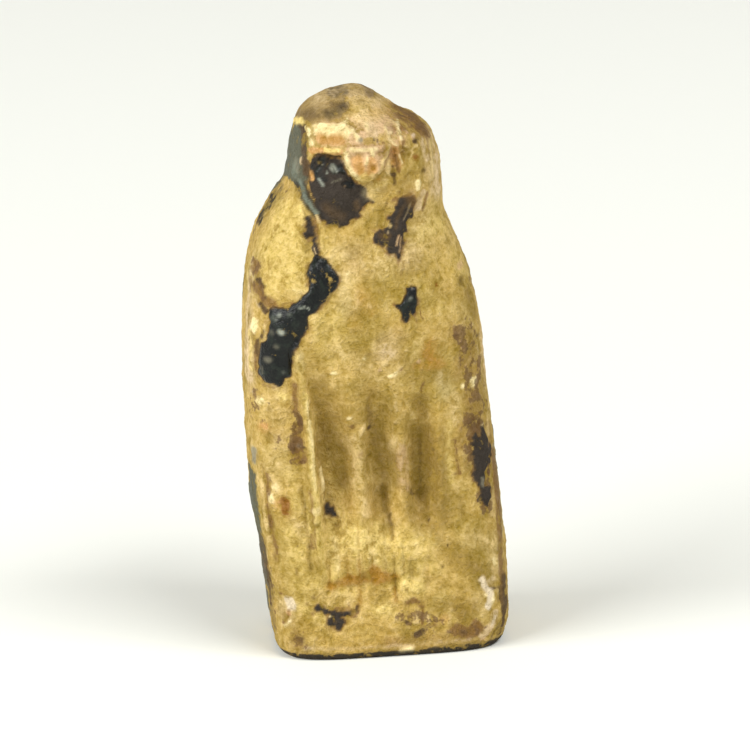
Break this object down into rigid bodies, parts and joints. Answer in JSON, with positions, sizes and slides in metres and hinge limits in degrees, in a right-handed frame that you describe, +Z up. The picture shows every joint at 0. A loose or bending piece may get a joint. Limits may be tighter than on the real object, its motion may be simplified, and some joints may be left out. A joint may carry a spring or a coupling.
{
  "type": "falcon amulet",
  "caption": "Small standing falcon amulet, moulded in one piece, with folded wings, legs in a shallow niche, a low plinth and a pierced lug behind the neck.",
  "frame": {"origin": "middle of the footprint, on the flat underside that the amulet stands on", "axes": "+Z up through the crown of the head, -Y out of the face, +X towards the amulet's own left wing (the viewer's right)"},
  "size_m": [0.0108, 0.0088, 0.024],
  "materials": {
    "faience": "worn sandy glazed composition, matte yellow-buff, with remains of a dark glossy glaze"
  },
  "bodies": {
    "root": {"falcon_amulet": "faience"}
  },
  "joints": []
}
